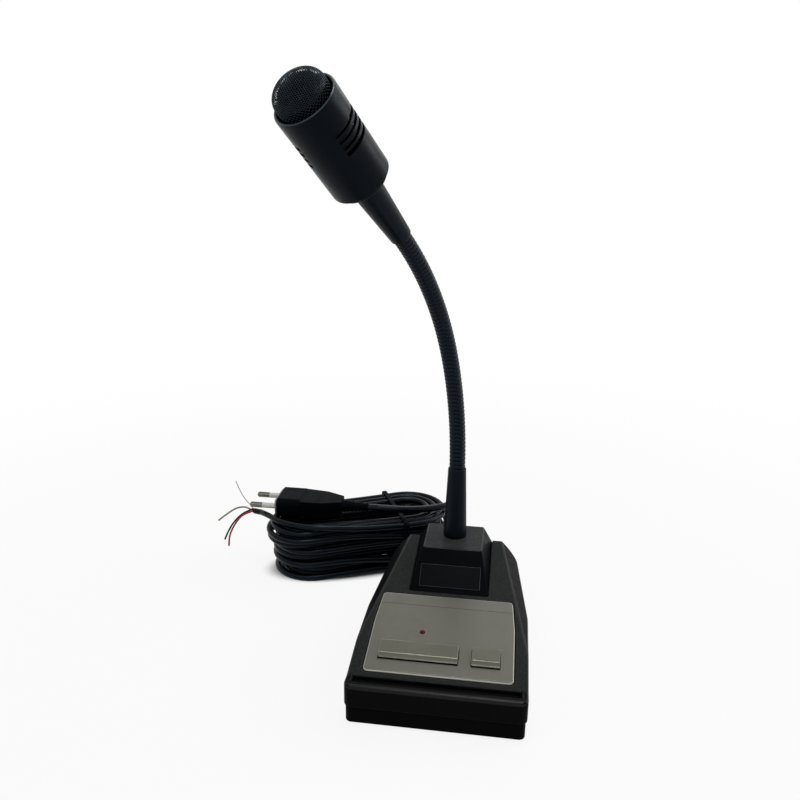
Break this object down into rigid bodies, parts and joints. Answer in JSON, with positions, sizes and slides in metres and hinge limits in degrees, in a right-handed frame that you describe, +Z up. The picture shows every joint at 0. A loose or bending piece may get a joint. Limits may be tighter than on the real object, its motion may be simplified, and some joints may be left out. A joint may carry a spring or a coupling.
{
  "type": "paging microphone",
  "caption": "Desk paging microphone: sloped case with a wide chime key and a narrow talk key, ribbed gooseneck, slotted head with a domed grille, and coiled mains and signal cords.",
  "frame": {"origin": "on the desk, under the middle of the case", "axes": "+Z up; +Y from the front of the case to its rear, where the cords leave; +X to the right of someone at the keys"},
  "size_m": [0.2264, 0.2349, 0.3251],
  "materials": {
    "case_plastic": "satin moulded, near black",
    "silver_plastic": "satin warm silver-grey",
    "dark_plate": "bare satin plate",
    "black_rubber": "matte",
    "neck_steel": "blackened ribbed steel",
    "sleeve_plastic": "satin",
    "grille_steel": "black perforated sheet",
    "bare_steel": "plated",
    "capsule_metal": "satin",
    "lamp_red": "unlit lens",
    "board_green": "solder mask",
    "chip_black": "moulded",
    "can_blue": "sleeved",
    "core_iron": "laminated",
    "winding_copper": "enamelled wire",
    "pale_plastic": "moulded",
    "pin_nickel": "nickel plated",
    "wire_red": "insulation",
    "wire_white": "insulation",
    "wire_black": "insulation",
    "wire_bare": "bare strand"
  },
  "bodies": {
    "base": {"bottom_cover": "case_plastic", "top_cover": "case_plastic", "fascia_panel": "silver_plastic", "neck_pedestal": "case_plastic", "name_plate": "dark_plate", "chime_switch": "chip_black", "talk_switch": "chip_black", "status_led": "lamp_red", "circuit_board": "board_green", "board_screws": "bare_steel", "chime_chip": "chip_black", "capacitors": "can_blue", "transformer_core": "core_iron", "transformer_winding": "winding_copper", "terminal_block": "pale_plastic", "cover_screws": "bare_steel", "pedestal_screws": "bare_steel", "rubber_feet": "black_rubber", "neck_ferrule": "bare_steel", "neck_nut": "bare_steel", "neck_base_sleeve": "sleeve_plastic", "neck_hose_1": "neck_steel", "mains_relief": "black_rubber", "signal_relief": "black_rubber", "mains_lead": "black_rubber", "mains_hank": "black_rubber", "mains_tail": "black_rubber", "signal_lead": "black_rubber", "signal_hank": "black_rubber", "signal_tail": "black_rubber", "hank_tie": "wire_black", "plug_body": "black_rubber", "plug_face": "pale_plastic", "plug_pins": "pin_nickel", "pin_sleeves": "pale_plastic", "red_conductor": "wire_red", "black_conductor": "wire_black", "white_conductor": "wire_white", "screen_strand": "wire_bare"},
    "chime_key": {"chime_key": "silver_plastic", "chime_plunger": "pale_plastic"},
    "talk_key": {"talk_key": "silver_plastic", "talk_plunger": "pale_plastic"},
    "neck_link_1": {"neck_hose_2": "neck_steel"},
    "neck_link_2": {"neck_hose_3": "neck_steel"},
    "head": {"neck_hose_4": "neck_steel", "neck_head_sleeve": "sleeve_plastic", "head_collar": "case_plastic", "head_barrel": "case_plastic", "head_grille": "grille_steel", "mic_capsule": "capsule_metal", "capsule_rings": "black_rubber"}
  },
  "joints": [
    {"name": "chime_key_press", "type": "slide", "parent": "base", "child": "chime_key", "axis": [0, 0.1582, -0.9874], "range_m": [0, 0.0024], "stiffness_N_per_m": 400, "springref_m": -0.002},
    {"name": "talk_key_press", "type": "slide", "parent": "base", "child": "talk_key", "axis": [0, 0.1582, -0.9874], "range_m": [0, 0.0024], "stiffness_N_per_m": 400, "springref_m": -0.002},
    {"name": "neck_lower_bend", "type": "hinge", "parent": "base", "child": "neck_link_1", "pos_m": [-0.00133, 0.05199, 0.13575], "axis": [0.866, -0.5, 0], "range_deg": [-30, 35], "deforming": ["neck_hose_1", "neck_hose_2"]},
    {"name": "neck_side_bend", "type": "hinge", "parent": "neck_link_1", "child": "neck_link_2", "pos_m": [-0.00726, 0.04172, 0.18127], "axis": [-0.4669, -0.8087, -0.3578], "range_deg": [-35, 35], "deforming": ["neck_hose_2", "neck_hose_3"]},
    {"name": "neck_upper_bend", "type": "hinge", "parent": "neck_link_2", "child": "head", "pos_m": [-0.01852, 0.02221, 0.2225], "axis": [0.866, -0.5, 0], "range_deg": [-45, 40], "deforming": ["neck_hose_3", "neck_hose_4"]}
  ]
}
